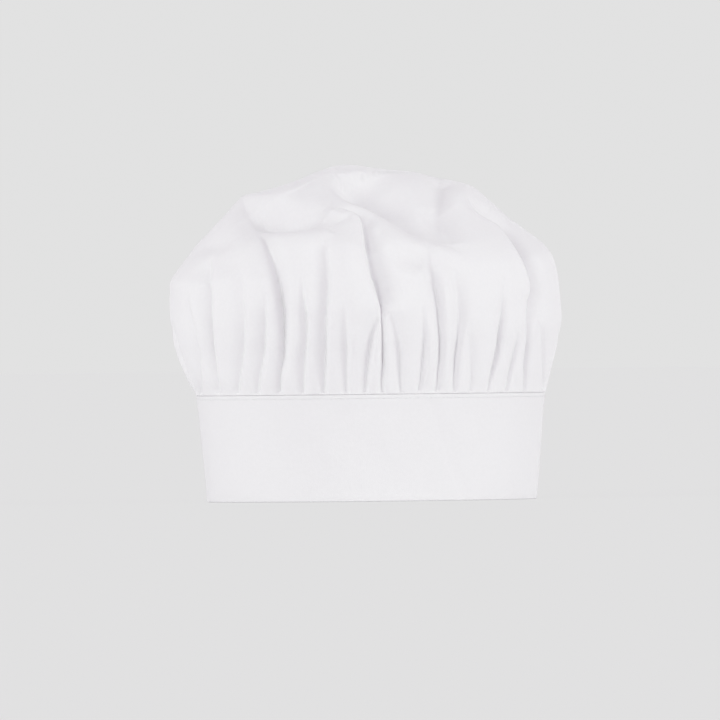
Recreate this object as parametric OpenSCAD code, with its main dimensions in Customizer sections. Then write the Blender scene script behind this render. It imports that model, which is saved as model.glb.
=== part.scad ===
// Chef toque: a gathered crown sewn into a stiffened band, closed at the back by a hook-and-loop strap.
// The front faces -Y, the closure is at +Y, and the hem stands on z = 0 round the vertical axis.

/* [Head band] */
// Outside width of the band at its hem
hem_width = 214; // [190:1:232]
// Outside width of the band at the crown seam
seam_width = 226; // [200:1:244]
// Outside depth of the band, front to back
band_depth = 200; // [176:1:216]
// Height of the band
band_height = 69; // [62:1:80]

/* [Crown] */
// Height of the whole hat
hat_height = 217; // [200:1:240]
// Height of the crown's widest part above the hem
belly_height = 126; // [118:1:136]
// Width of the crown at its widest part
crown_width = 254; // [246:1:280]
// Depth of the crown at its widest part
crown_depth = 233; // [226:1:260]
// How far the crown's top leans to the hat's right, which is to the left in front view
crown_lean = 18; // [0:1:20]
// Number of pleats round the seam
pleats = 39; // [35:1:39]
// Depth of a pleat just above the seam
pleat_depth = 6; // [2:0.5:8]
// Height above the seam where the pleats are deepest
pleat_rise = 7; // [5:0.5:12]
// How far the pleats stand out from the crown's edge there
pleat_swell = 3; // [1:0.5:6]
// Height above the seam where the pleats run out into folds
fold_rise = 26; // [20:1:34]
// How far the crown stands out from its edge there
fold_swell = 9.5; // [5:0.5:14]
// Depth of the long folds that run up the crown
fold_depth = 9; // [0:0.5:10]
// Height of the crown's edge held inside the band
seam_allowance = 10; // [6:0.5:14]

/* [Cloth] */
// Thickness of the woven cloth
cloth = 0.6; // [0.4:0.1:0.8]
// Thickness of the stiffener inside the band and the strap
stiffener = 0.5; // [0.3:0.1:0.8]
// Thickness of the crown's pressed pleats inside the band
pleat_stack = 1.2; // [1:0.1:1.5]
// Thickness of the sewing thread
thread = 0.5; // [0.3:0.1:0.6]
// Room between layers that lie on each other
ease = 0.12; // [0.1:0.01:0.2]

/* [Closure] */
// Length of the strap beyond the band's end
tab_length = 82; // [74:1:95]
// Height of the strap
tab_height = 46; // [42:1:52]
// Radius of the strap's two corners
tab_corner = 9; // [4:1:14]
// Length of the band's end that passes behind the strap's root
under_length = 20; // [14:1:30]
// Length of the hook tape
hook_length = 46; // [38:1:50]
// Height of the hook tape
hook_height = 24; // [18:1:25]
// Length of the loop tape
loop_length = 62; // [58:1:66]
// Height of the loop tape
loop_height = 34; // [33:1:38]
// Thickness of each tape
tape = 1.1; // [0.8:0.1:1.4]
// Room left between the hooks and the loops
closure_clearance = 0.35; // [0.3:0.05:0.6]
// Gap between the strap's root and the band's end, where the strap bends
bend_gap = 0.4; // [0.3:0.05:0.6]

/* [Stitching] */
// Distance of the top row of stitches below the crown seam
top_stitch_drop = 2.5; // [1.5:0.5:5]
// Distance of a row of stitches from the edge of the strap or of a tape
edge_inset = 2.5; // [2:0.5:3.5]
// Distance of the strap's seam from the end of the band
tab_seam_inset = 5; // [3:0.5:8]

/* [Hidden] */

white_cloth = [0.93, 0.93, 0.94];
white_thread = [0.97, 0.97, 0.97];
stiffener_grey = [0.86, 0.87, 0.88];
tape_white = [0.90, 0.90, 0.91];

// Places round the hat are in degrees: 90 is the back, 180 the hat's right side and 270 the front. The band's
// two ends lap here.
lap_at = 82;
lap_end = lap_at + 360;

// Where the front pleats' valleys lie across the seam, as shares of half its width. The other pleats are spread
// evenly round the sides and the back, on both sides of the lap.
front_valleys = [
    -0.95, -0.855, -0.748, -0.633, -0.51, -0.38, -0.265, -0.14, -0.035, 0.06, 0.165, 0.27, 0.37, 0.463, 0.56,
    0.657, 0.76, 0.86, 0.95
];
front_count = len(front_valleys);
front_from = 270 + asin(front_valleys[0]);
front_to = 270 + asin(front_valleys[front_count - 1]);

// A column of the crown stands at each valley and at the ridge between two of them. Columns are listed from the
// lap round to the lap, as [angle, 1 for a valley or 0 for a ridge].
rest_columns = 2 * (pleats - front_count) + 1;
rest_right = round(rest_columns * (lap_end - front_to) / (front_from + 360 - front_to));
rest_left = rest_columns - rest_right;
right_gap = (lap_end - front_to) / (rest_right + 0.5);
left_gap = (front_from + 360 - lap_end) / (rest_left + 0.5);
crown_columns = concat(
    [for (k = [0:rest_left - 1]) [lap_at + (k + 0.5) * left_gap, (rest_right + k) % 2]],
    [for (k = [0:2 * front_count - 2]) [
        270 + (asin(front_valleys[floor(k / 2)]) + asin(front_valleys[ceil(k / 2)])) / 2, 1 - k % 2
    ]],
    [for (k = [1:rest_right]) [front_to + k * right_gap, 1 - k % 2]]
);
columns = len(crown_columns);

// The crown's edge is straight between two columns, which takes a little room in the band.
widest_gap = max([for (j = [1:columns - 1]) crown_columns[j][0] - crown_columns[j - 1][0]]);
pleat_bow = seam_width / 2 * (1 - cos(widest_gap / 2));

// Layers of the band, as depths inward from its outer face.
interlining_at = cloth + ease;
allowance_at = interlining_at + stiffener + ease;
lining_at = allowance_at + pleat_stack + pleat_bow + ease;
band_thick = lining_at + cloth;
thread_r = thread / 2;
overlock_r = pleat_stack / 2;

// Layers of the closure, as heights outward from the outer face of the band's under end.
loop_out = ease + tape;
hook_out = loop_out + closure_clearance;
tab_in = hook_out + tape + ease;
tab_thick = 2 * cloth + 2 * ease + stiffener;
tab_out = tab_in + tab_thick;

// The band's free end stands out by this much, so that the strap in its middle lies over the tapes.
lap_step = (tab_in + tab_out + band_thick) / 2;

// Places round the band where its under end starts, where it steps outward, and where the strap lies.
under_at = lap_at - along(under_length);
step_from = 362;
step_to = 434;
turn_step = 3;
tab_from = lap_end + along(bend_gap);
tab_to = lap_end + along(tab_length);
tab_mid_z = band_height / 2;

// Degrees that a length along the back of the band takes up.
function along(mm) = mm / (hem_width / 2 + seam_width / 2) * 2 * 180 / PI;
function ramp(t, from, to) = let (s = min(1, max(0, (t - from) / (to - from)))) s * s * (3 - 2 * s);
function steps(from, to, size) = let (n = ceil((to - from) / size))
    [for (i = [0:n]) from + (to - from) * i / n];

// A point of the band at angle t, at depth d inward from the outer face, at height z.
function lap_offset(t) = lap_step * ramp(t, step_from, step_to);
function half_width(z) = (hem_width + (seam_width - hem_width) * z / band_height) / 2;
function band_point(t, d, z) = [
    (half_width(z) + lap_offset(t) - d) * cos(t),
    (band_depth / 2 + lap_offset(t) - d) * sin(t),
    z
];

// A solid through equal rings of points. Point k of a ring lies across from point n - 1 - k, so that an end is
// closed by a row of quads whatever the section's shape.
module loft(rings, closed = false) {
    n = len(rings[0]);
    m = len(rings);
    last = closed ? m - 1 : m - 2;
    function at(i, k) = (i % m) * n + k % n;
    walls = [
        for (i = [0:last], k = [0:n - 1])
            each [[at(i, k), at(i + 1, k), at(i, k + 1)], [at(i, k + 1), at(i + 1, k), at(i + 1, k + 1)]]
    ];
    ends = closed ? [] : [
        for (k = [0:n / 2 - 2])
            each [
                [at(0, k), at(0, k + 1), at(0, n - 2 - k)],
                [at(0, k), at(0, n - 2 - k), at(0, n - 1 - k)],
                [at(m - 1, k), at(m - 1, n - 2 - k), at(m - 1, k + 1)],
                [at(m - 1, k), at(m - 1, n - 1 - k), at(m - 1, n - 2 - k)]
            ]
    ];
    polyhedron(points = [for (ring = rings) each ring], faces = concat(walls, ends));
}

// A strip of the band between two angles, with one [depth, height] section all along.
module band_run(section, from, to) {
    loft([for (t = steps(from, to, turn_step)) [for (p = section) band_point(t, p[0], p[1])]]);
}

// A flat layer between two depths and two heights.
function layer(d0, d1, z0, z1) = [[d0, z0], [d0, z1], [d1, z1], [d1, z0]];

// A round section of six sides.
function round_section(d, z, r) = [for (k = [0:5]) [d + r * cos(60 * k), z + r * sin(60 * k)]];

// A thread along points that lie on an upright face: each ring is square to the way the thread runs.
module thread_run(points, closed = false) {
    n = len(points);
    function next(i) = points[closed ? (i + 1) % n : min(i + 1, n - 1)];
    function prev(i) = points[closed ? (i + n - 1) % n : max(i - 1, 0)];
    loft([
        for (i = [0:n - 1])
            let (
                way = next(i) - prev(i),
                ahead = way / norm(way),
                out = [points[i][0], points[i][1], 0] / norm([points[i][0], points[i][1]]),
                side = cross(ahead, out) / norm(cross(ahead, out)),
                up = cross(side, ahead)
            )
            [for (k = [0:5]) points[i] + thread_r * (cos(60 * k) * up + sin(60 * k) * side)]
    ], closed);
}

// A stitched rectangle as points of [angle, height], close enough together to follow the band.
function stitch_box(from, to, low, high) = concat(
    [for (t = steps(from, to, turn_step)) [t, low]],
    [for (t = steps(from, to, turn_step)) [from + to - t, high]]
);

// The strap's tip and half its height at angle t, for an outline held back from its edge by an inset.
function tab_tip(inset) = tab_to - along(inset);
function tab_half(t, inset) = let (
    corner = tab_corner - inset,
    back = max(0, corner - (tab_tip(inset) - t) / along(1))
) tab_height / 2 - tab_corner + sqrt(max(0, corner * corner - back * back));

// Angles along the strap, closer together round its corners.
function tab_steps(inset) = let (corner = tab_corner - inset) concat(
    steps(tab_from, tab_tip(inset) - along(corner), turn_step),
    [for (a = [15:15:90]) tab_tip(inset) - along(corner * (1 - sin(a)))]
);

// A piece of the strap from sections of [height above the band's under end, side, step in from that side].
module tab_run(section, inset) {
    loft([
        for (t = tab_steps(inset))
            [for (p = section) band_point(t, lap_step - p[0], tab_mid_z + p[1] * (tab_half(t, inset) - p[2]))]
    ]);
}

// The crown's long folds: place round the hat at the belly, place at the top, share of the fold depth at the
// belly, and how far up the fold runs out.
crown_folds = [
    [220, 205, 0.45, 0.5], [244, 185, 1.0, 1.1], [258, 254, 0.55, 0.5], [274, 262, 0.85, 1.1],
    [292, 284, 0.75, 0.5], [322, 352, 0.55, 1.1],
    [28, 18, 0.6, 1.0], [62, 78, 0.9, 1.1], [98, 92, 0.7, 1.1], [127, 140, 0.8, 0.8], [158, 172, 0.6, 1.0]
];
fold_spread = 6;

// Creases over the front of the dome, each a straight line in the front view from one place to another: share
// of half the crown's width and of the dome's rise at both ends, then the share of the fold depth.
front_creases = [
    [-0.14, 0.88, 0.34, 0.47, 0.85], [-0.58, 0.6, -0.26, 0.56, 0.75], [0.37, 0.8, 0.38, 0.5, 0.6],
    [-0.05, 0.65, 0.02, 0.22, 0.5]
];
crease_spread = 10;

// Rows over the pleats: height above the seam, stand out from the band, share of the pleat depth, of the folds
// and of the lean.
pleat_rows = [[pleat_rise, pleat_swell, 0.75, 0.1, 0.08], [fold_rise, fold_swell, 0.75, 0.45, 0.16]];
// Rows of the dome from the belly up: share of the rise, of the width, of the depth, of the pleat depth and of
// the lean. The upper rows take every second column.
dome_rows = [[0, 1, 1, 0.3, 0.2], [0.264, 0.969, 0.963, 0.1, 0.16]];
upper_rows = [[0.505, 0.842, 0.837, 0, 0.17], [0.725, 0.664, 0.627, 0, 0.31], [0.907, 0.374, 0.309, 0, -0.11]];

function turned(a) = a - 360 * floor((a + 180) / 360);
function fold_in(t, rise) = fold_depth * max([
    for (f = crown_folds)
        let (off = turned(t - f[0] - (f[1] - f[0]) * rise * rise) / fold_spread)
        f[2] * max(0, 1 - rise / f[3]) * exp(-off * off)
]);

// How far a place on the front of the dome is pressed in by the creases, square to a face that tilts as it rises.
function crease_in(across, rise) = fold_depth * max([
    for (c = front_creases)
        let (
            dome_size = [crown_width / 2, hat_height - belly_height],
            from = [c[0] * dome_size[0], c[1] * dome_size[1]],
            way = [c[2] * dome_size[0], c[3] * dome_size[1]] - from,
            gap = [across, rise * dome_size[1]] - from,
            off = norm(gap - way * min(1, max(0, gap * way / (way * way)))) / crease_spread
        )
        c[4] * exp(-off * off)
]);
function dome_tilt(rise) = 84 * rise;

// Where column j of the crown stands. The two columns at the lap stay above the band.
function column_at(j) = crown_columns[j][0];
function valley(j) = crown_columns[j][1];
function edge_z(j) = j == 0 || j == columns - 1 ? band_height + 2 * ease : band_height - seam_allowance;

// The front's pleats run straight up where the crown widens, so a column's angle there closes in with its width.
function column_above(j, half) = let (
    t = column_at(j),
    s = sin(t - 270),
    close = (1 - s * s) * (1 - seam_width / 2 / half)
) t > front_from && t < front_to ? 270 + asin(s * (1 - close)) : t;

function pleat_point(j, row, inward) = let (
    t = column_above(j, seam_width / 2 + row[1]),
    dent = valley(j) * pleat_depth * row[2] + fold_in(t, 0) * row[3]
) band_point(t, allowance_at + inward - row[1] + dent, band_height + row[0]) - [crown_lean * row[4], 0, 0];
function dome_point(j, row, inward) = let (
    t = column_above(j, crown_width / 2),
    across = crown_width / 2 * row[1] * cos(t) - crown_lean * row[4],
    crease = sin(t) < 0 ? crease_in(across, row[0]) : 0,
    tilt = dome_tilt(row[0]),
    dent = valley(j) * pleat_depth * row[3] + fold_in(t, row[0]) + inward + crease * cos(tilt)
) [
    across - dent * cos(t),
    (crown_depth / 2 * row[2] - dent) * sin(t),
    belly_height + (hat_height - belly_height - inward) * row[0] - crease * sin(tilt)
];

// One skin of the crown, row by row from its edge inside the band up to the top.
function crown_skin(inward) = let (
    d = allowance_at + (inward > 0 ? pleat_stack : 0),
    all = [0:columns - 1]
) concat(
    [for (j = all) band_point(column_at(j), d, edge_z(j))],
    [for (j = all) band_point(column_at(j), d, band_height + 3 * ease)],
    [for (row = pleat_rows, j = all) pleat_point(j, row, inward)],
    [for (row = dome_rows, j = all) dome_point(j, row, inward)],
    [for (row = upper_rows, j = [0:2:columns - 1]) dome_point(j, row, inward)],
    [[-crown_lean, 0, hat_height - inward]]
);

// One disc of cloth, gathered into the band and bulging over it.
module crown() {
    outer = crown_skin(0);
    inner = crown_skin(cloth);
    count = len(outer);
    half = columns / 2;
    full = 2 + len(pleat_rows) + len(dome_rows);
    last = full + len(upper_rows) - 1;
    function at(i, j) = i < full ? i * columns + j % columns : full * columns + (i - full) * half + j % half;
    function between(i, n) = [
        for (j = [0:n - 1]) each [
            [at(i, j), at(i + 1, j), at(i, j + 1)],
            [at(i, j + 1), at(i + 1, j), at(i + 1, j + 1)]
        ]
    ];
    skin = concat(
        [for (i = [0:full - 2]) each between(i, columns)],
        [for (k = [0:half - 1]) each [
            [at(full - 1, 2 * k), at(full, k), at(full - 1, 2 * k + 1)],
            [at(full - 1, 2 * k + 1), at(full, k), at(full, k + 1)],
            [at(full - 1, 2 * k + 1), at(full, k + 1), at(full - 1, 2 * k + 2)]
        ]],
        [for (i = [full:last - 1]) each between(i, half)],
        [for (j = [0:half - 1]) [at(last, j), count - 1, at(last, j + 1)]]
    );
    lining = [for (f = skin) [f[0] + count, f[2] + count, f[1] + count]];
    rim = [
        for (j = [0:columns - 1]) each [
            [at(0, j), at(0, j + 1), at(0, j) + count],
            [at(0, j + 1), at(0, j + 1) + count, at(0, j) + count]
        ]
    ];
    color(white_cloth)
        polyhedron(points = concat(outer, inner), faces = concat(skin, lining, rim));
}

// The thread that binds the crown's edge, lying just below it inside the band.
module crown_overlock_thread() {
    color(white_thread)
        band_run(
            round_section(
                allowance_at + overlock_r,
                band_height - seam_allowance - overlock_r - ease,
                overlock_r - ease / 2
            ),
            column_at(1), column_at(columns - 2)
        );
}

// One strip folded at the hem, both walls of the band.
module band_strip() {
    color(white_cloth)
        band_run([
            [0, band_height], [0, 0], [band_thick, 0], [band_thick, band_height],
            [lining_at, band_height], [lining_at, cloth], [cloth, cloth], [cloth, band_height]
        ], under_at, lap_end);
}

// The stiffener against the outer wall.
module band_interlining() {
    color(stiffener_grey)
        band_run(
            layer(interlining_at, interlining_at + stiffener, cloth + ease, band_height - ease),
            under_at, lap_end
        );
}

// The row of stitches that closes the band over the crown's edge.
module top_stitch_thread() {
    color(white_thread)
        band_run(
            round_section(-thread_r - ease, band_height - top_stitch_drop, thread_r), under_at, lap_end
        );
}

// Where the tapes lie along the closure. The under end's own angles are one turn lower than the strap's.
tape_mid = (tab_from + tab_to) / 2;

// A tape of a given length and height between two depths, with its middle at an angle.
module tape_run(mid, length, height, d0, d1) {
    band_run(
        layer(d0, d1, tab_mid_z - height / 2, tab_mid_z + height / 2),
        mid - along(length / 2), mid + along(length / 2)
    );
}

// The stitched rectangle that holds a tape, just inside its edge.
module tape_thread(mid, length, height, d) {
    reach = along(length / 2 - edge_inset);
    half = height / 2 - edge_inset;
    thread_run(
        [for (p = stitch_box(mid - reach, mid + reach, -half, half)) band_point(p[0], d, tab_mid_z + p[1])],
        true
    );
}

// The loop tape is larger than the hook tape, so its stitches lie clear of the hooks.
module loop_tape() {
    color(tape_white)
        tape_run(tape_mid - 360, loop_length, loop_height, -loop_out, -ease);
}

module loop_tape_thread() {
    color(white_thread)
        tape_thread(tape_mid - 360, loop_length, loop_height, -loop_out - thread_r - ease);
}

// The upright row that sews the strap's root into the end of the band.
module tab_seam_thread() {
    color(white_thread)
        translate(band_point(lap_end - along(tab_seam_inset), -thread_r - ease, tab_mid_z))
            cylinder(r = thread_r, h = tab_height, center = true, $fn = 24);
}

// The strap: one strip folded along its lower edge, both walls of the strap.
module closure_tab() {
    color(white_cloth)
        tab_run([
            [tab_out, 1, 0], [tab_out, -1, 0], [tab_in, -1, 0], [tab_in, 1, 0],
            [tab_in + cloth, 1, 0], [tab_in + cloth, -1, cloth],
            [tab_out - cloth, -1, cloth], [tab_out - cloth, 1, 0]
        ], 0);
}

module tab_interlining() {
    low = tab_in + cloth + ease;
    color(stiffener_grey)
        tab_run([[low, -1, 0], [low, 1, 0], [low + stiffener, 1, 0], [low + stiffener, -1, 0]], cloth + ease);
}

// The stitching round the strap's edge, from the root round the tip and back.
module tab_edge_thread() {
    lower = [for (t = tab_steps(edge_inset)) [t, -tab_half(t, edge_inset)]];
    n = len(lower) - 1;
    route = concat(lower, [for (i = [0:n]) [lower[n - i][0], -lower[n - i][1]]]);
    color(white_thread)
        thread_run([
            for (p = route) band_point(p[0], lap_step - tab_out - thread_r - ease, tab_mid_z + p[1])
        ]);
}

module hook_tape() {
    color(tape_white)
        tape_run(tape_mid, hook_length, hook_height, lap_step - hook_out - tape, lap_step - hook_out);
}

// The stitches that hold the hook tape show on the outside of the strap.
module hook_tape_thread() {
    color(white_thread)
        tape_thread(tape_mid, hook_length, hook_height, lap_step - tab_out - thread_r - ease);
}

crown();
crown_overlock_thread();
band_strip();
band_interlining();
top_stitch_thread();
loop_tape();
loop_tape_thread();
tab_seam_thread();
closure_tab();
tab_interlining();
tab_edge_thread();
hook_tape();
hook_tape_thread();
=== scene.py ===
import math

import bmesh
import bpy
import numpy as np
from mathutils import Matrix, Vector


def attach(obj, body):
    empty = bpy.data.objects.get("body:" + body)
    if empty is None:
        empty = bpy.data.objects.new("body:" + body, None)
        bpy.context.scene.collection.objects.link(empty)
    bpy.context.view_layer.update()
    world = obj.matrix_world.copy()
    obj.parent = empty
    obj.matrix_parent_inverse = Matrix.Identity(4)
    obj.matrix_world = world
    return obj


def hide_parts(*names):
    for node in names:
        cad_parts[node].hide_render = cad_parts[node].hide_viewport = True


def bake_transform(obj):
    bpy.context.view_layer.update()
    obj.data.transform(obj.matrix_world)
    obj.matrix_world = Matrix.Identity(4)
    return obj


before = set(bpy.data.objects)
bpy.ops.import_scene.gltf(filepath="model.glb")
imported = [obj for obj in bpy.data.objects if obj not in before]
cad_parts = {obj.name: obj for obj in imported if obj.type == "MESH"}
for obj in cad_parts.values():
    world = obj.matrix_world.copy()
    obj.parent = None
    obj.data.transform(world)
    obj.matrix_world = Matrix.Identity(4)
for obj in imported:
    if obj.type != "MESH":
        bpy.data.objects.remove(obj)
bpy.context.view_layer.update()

# The band's cloth: one strip of white cotton twill, folded lengthwise at the hem so that it is both walls
# of the band. Its top edges are turned in and sewn together over the crown, and at the back its free end
# steps outward, so that the closing strap in it can lie over the other end. Lengths are in millimetres.
METRE = 0.001
scene = bpy.context.scene
HEM_WIDTH, SEAM_WIDTH, BAND_DEPTH, BAND_HEIGHT = 214.0, 226.0, 200.0, 69.0
BAND_THICK = 3.44
CLOTH = 0.6
TURNED_IN = 4.0
ROLL = 0.32
HEM_BEND = 0.45
LAP_AT, LAP_STEP, LAP_RISE = 82.0, 5.48, (362.0, 72.0)
LAP_END = LAP_AT + 360.0
TURN_PER_MM = 360.0 / (math.pi * (HEM_WIDTH + SEAM_WIDTH) / 2)
UNDER_LENGTH = 20.0
UNDER_AT = LAP_AT - UNDER_LENGTH * TURN_PER_MM
TWILL_WHITE = (0.838, 0.826, 0.844)
BAND_COLUMNS, BAND_ROWS, ROLL_STEPS, HEM_STEPS = 380, 20, 6, 5
# Broad waves: height, how many round the band, phase, drift up the band. Dents: place across the front at
# DENT_HEIGHT, slope, width, depth.
BAND_WAVES = ((0.35, 3, 0.6, 0.0), (0.25, 5, 2.1, 1 / 40), (0.12, 9, 0.0, -1 / 25))
BAND_DENTS, DENT_HEIGHT = ((50, 0.45, 6, 1.1), (-6, 0.8, 16, 0.9), (76, 0.3, 8, 0.5)), 36.0
EDGE_WAVE = 0.25
SEAM_SWELL, SWELL_RISE = 0.3, (BAND_HEIGHT - 10, 4)


def ramp(x, start, over):
    """Rises from 0 to 1 while x goes that far past the start, with no kink at either end."""
    x = np.clip((x - start) / over, 0.0, 1.0)
    return x * x * (3.0 - 2.0 * x)


def lap_offset(turn):
    return LAP_STEP * ramp(turn, *LAP_RISE)


def band_wave(turn, z):
    """The slight unevenness of a cloth band: broad waves, a swell over the seam, soft dents in front."""
    a = np.radians(turn)
    middle = EDGE_WAVE + (1 - EDGE_WAVE) * np.sin(np.pi * np.clip(z / BAND_HEIGHT, 0, 1))
    broad = sum(high * np.sin(count * a + phase + drift * z) for high, count, phase, drift in BAND_WAVES)
    swell = SEAM_SWELL * ramp(z, *SWELL_RISE)
    round_front = (turn - 270) / TURN_PER_MM
    dents = 0.0
    for place, slope, width, depth in BAND_DENTS:
        off = (round_front - place - slope * (DENT_HEIGHT - z)) / width
        dents = dents + depth * np.exp(-off * off)
    return broad * middle + swell - dents * middle


def band_at(turn, depth, z):
    """A place on the band: degrees round it (90 the back, 270 the front), depth from its face, height."""
    turn, depth, z = np.broadcast_arrays(*(np.asarray(v, float) for v in (turn, depth, z)))
    out = lap_offset(turn) + band_wave(turn % 360, z) - depth
    half_width = (HEM_WIDTH + (SEAM_WIDTH - HEM_WIDTH) * z / BAND_HEIGHT) / 2
    a = np.radians(turn)
    return np.stack([(half_width + out) * np.cos(a), (BAND_DEPTH / 2 + out) * np.sin(a), z], axis=-1)


def unit(vectors):
    return vectors / np.linalg.norm(vectors, axis=-1, keepdims=True)


def lengths(line):
    """How far along a line of points each of them lies."""
    return np.concatenate([[0], np.cumsum(np.linalg.norm(np.diff(line, axis=0), axis=1))])


def arc(centre, radius, start, end, steps):
    a = np.radians(np.linspace(start, end, steps))
    return np.stack([centre[0] + radius * np.cos(a), centre[1] + radius * np.sin(a)], axis=1)


def upright(depth, heights):
    return np.stack([np.full_like(heights, depth), heights], axis=1)


def ribbon(line, thickness):
    """The outline of a folded cloth's section: both faces of the line that runs along its middle."""
    along = unit(np.gradient(line, axis=0))
    across = np.stack([-along[:, 1], along[:, 0]], axis=1) * thickness / 2
    return np.concatenate([line + across, (line - across)[::-1]])


def flat_places(across, along):
    """Each point's place on the flat cloth, in the order of the points."""
    return np.stack(np.broadcast_arrays(across, along), axis=-1).reshape(-1, 2)


def tube_faces(rings, around, first=0):
    """Quads between rings of points that each go once round."""
    faces = []
    for i in range(rings - 1):
        a, b = first + i * around, first + (i + 1) * around
        faces += [(a + k, a + (k + 1) % around, b + (k + 1) % around, b + k) for k in range(around)]
    return faces


def ribbon_ends(rings, around):
    """Ends of a ribbon, whose section has point k across from point around - 1 - k."""
    faces = []
    for base in (0, (rings - 1) * around):
        for k in range(around // 2 - 1):
            faces.append((base + k, base + around - 1 - k, base + around - 2 - k, base + k + 1))
    return faces


def piece(name, points, faces, uv, material):
    """A mesh object from points in millimetres; uv gives each point's place on the flat cloth."""
    mesh = bpy.data.meshes.new(name)
    mesh.from_pydata((np.asarray(points, float) * METRE).tolist(), [], faces)
    shell = bmesh.new()
    shell.from_mesh(mesh)
    bmesh.ops.recalc_face_normals(shell, faces=shell.faces)
    shell.to_mesh(mesh)
    shell.free()
    corner = np.empty(len(mesh.loops), int)
    mesh.loops.foreach_get("vertex_index", corner)
    layer = mesh.uv_layers.new(name="cloth")
    layer.data.foreach_set("uv", np.asarray(uv, float)[corner].ravel())
    mesh.polygons.foreach_set("use_smooth", np.ones(len(mesh.polygons), bool))
    mesh.materials.append(material)
    made = bpy.data.objects.new(name, mesh)
    scene.collection.objects.link(made)
    return made


class Wire:
    """One output in a material's node tree. Sums and products of wires add their Math nodes."""

    def __init__(self, socket):
        self.socket = socket
        self.tree = socket.id_data

    def node(self, kind, settings=None, sockets=None, out=0):
        made = self.tree.nodes.new(kind)
        for name, value in (settings or {}).items():
            setattr(made, name, value)
        for name, value in (sockets or {}).items():
            if isinstance(value, Wire):
                self.tree.links.new(value.socket, made.inputs[name])
            else:
                made.inputs[name].default_value = value
        return Wire(made.outputs[out])

    def into(self, shader, name):
        self.tree.links.new(self.socket, shader.inputs[name])

    def axis(self, k):
        return self.node("ShaderNodeSeparateXYZ", None, {0: self}, k)

    def math(self, operation, a, b=0.0):
        return self.node("ShaderNodeMath", {"operation": operation}, {0: a, 1: b})

    def __add__(self, other):
        return self.math("ADD", self, other)

    def __rsub__(self, other):
        return self.math("SUBTRACT", other, self)

    def __mul__(self, other):
        return self.math("MULTIPLY", self, other)

    __radd__ = __add__
    __rmul__ = __mul__

    def sine(self):
        return self.math("SINE", self)


def finish_start(name, sheen):
    """A new material: the wire of its place on the flat cloth in millimetres, and its shader."""
    made = bpy.data.materials.new(name)
    made.use_nodes = True
    shader = made.node_tree.nodes["Principled BSDF"]
    for socket, value in (("Specular IOR Level", 0.25), ("Sheen Weight", sheen), ("Sheen Roughness", 0.45)):
        shader.inputs[socket].default_value = value
    place = made.node_tree.nodes.new("ShaderNodeUVMap")
    place.uv_map = "cloth"
    return made, Wire(place.outputs[0]), shader


def noise(place, scale, detail=2.0, rough=0.5):
    sockets = {"Vector": place, "Scale": scale, "Detail": detail, "Roughness": rough}
    return place.node("ShaderNodeTexNoise", None, sockets)


def bump(place, height, distance, strength=1.0, under=None):
    sockets = {"Strength": strength, "Distance": distance * METRE, "Height": height}
    if under is not None:
        sockets["Normal"] = under
    return place.node("ShaderNodeBump", None, sockets)


def tone(place, share, colour, dark, light):
    """A colour between two levels of it, by a share that varies over the surface."""
    sockets = {0: share, 6: (*(c * dark for c in colour), 1.0), 7: (*(c * light for c in colour), 1.0)}
    return place.node("ShaderNodeMix", {"data_type": "RGBA"}, sockets, 2)


def twill(name, colour, yarn=0.5, crumple=0.0):
    """White cotton twill: diagonal lines over crossing yarns, faint slubs, and soft crumpling if asked."""
    made, place, shader = finish_start(name, sheen=0.12)
    across, along = place.axis(0), place.axis(1)
    turn = 2 * math.pi / yarn
    line_slope, yarns_in_line = 0.8, 2.5
    slub_scale, crumple_scale, weave_height = 0.4, 0.09, 0.05
    diagonal = ((across + along * line_slope) * (turn / yarns_in_line)).sine()
    yarns = (across * turn).sine() * (along * turn).sine()
    slub = noise(place, slub_scale, 3.0)
    weave = diagonal * 0.5 + yarns * 0.3 + slub * 0.8
    relief = None
    if crumple:
        relief = bump(place, noise(place, crumple_scale, 2.0, 0.4), crumple)
    bump(place, weave, weave_height, 0.5, relief).into(shader, "Normal")
    tone(place, slub, colour, 0.975, 1.015).into(shader, "Base Color")
    (slub * 0.12 + 0.78).into(shader, "Roughness")
    return made


outer_wall, inner_wall = CLOTH / 2, BAND_THICK - CLOTH / 2
roll_z = BAND_HEIGHT - ROLL - CLOTH / 2
hem_z = HEM_BEND + CLOTH / 2
rise = np.linspace(roll_z, hem_z, BAND_ROWS)
tuck = np.linspace(BAND_HEIGHT - TURNED_IN, roll_z, 4)[:-1]
section_line = np.concatenate([
    upright(outer_wall + 2 * ROLL, tuck),
    arc((outer_wall + ROLL, roll_z), ROLL, 0, 180, ROLL_STEPS)[:-1],
    upright(outer_wall, rise),
    arc((outer_wall + HEM_BEND, hem_z), HEM_BEND, 180, 270, HEM_STEPS)[1:],
    arc((inner_wall - HEM_BEND, hem_z), HEM_BEND, 270, 360, HEM_STEPS)[:-1],
    upright(inner_wall, rise[::-1]),
    arc((inner_wall - ROLL, roll_z), ROLL, 0, 180, ROLL_STEPS)[1:],
    upright(inner_wall - 2 * ROLL, tuck[::-1]),
])
section = ribbon(section_line, CLOTH)
turns = np.linspace(UNDER_AT, LAP_END, BAND_COLUMNS)
points = band_at(turns[:, None], section[:, 0], section[:, 1])
girth = lengths(section_line)
girth = np.concatenate([girth, girth[::-1]])
run = (turns - UNDER_AT) / TURN_PER_MM
faces = tube_faces(len(turns), len(section)) + ribbon_ends(len(turns), len(section))
band_twill = twill("pressed_twill", TWILL_WHITE)
band = piece("band_cloth", points.reshape(-1, 3), faces, flat_places(run[:, None], girth), band_twill)
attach(band, "hat")
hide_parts("band_strip")

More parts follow.
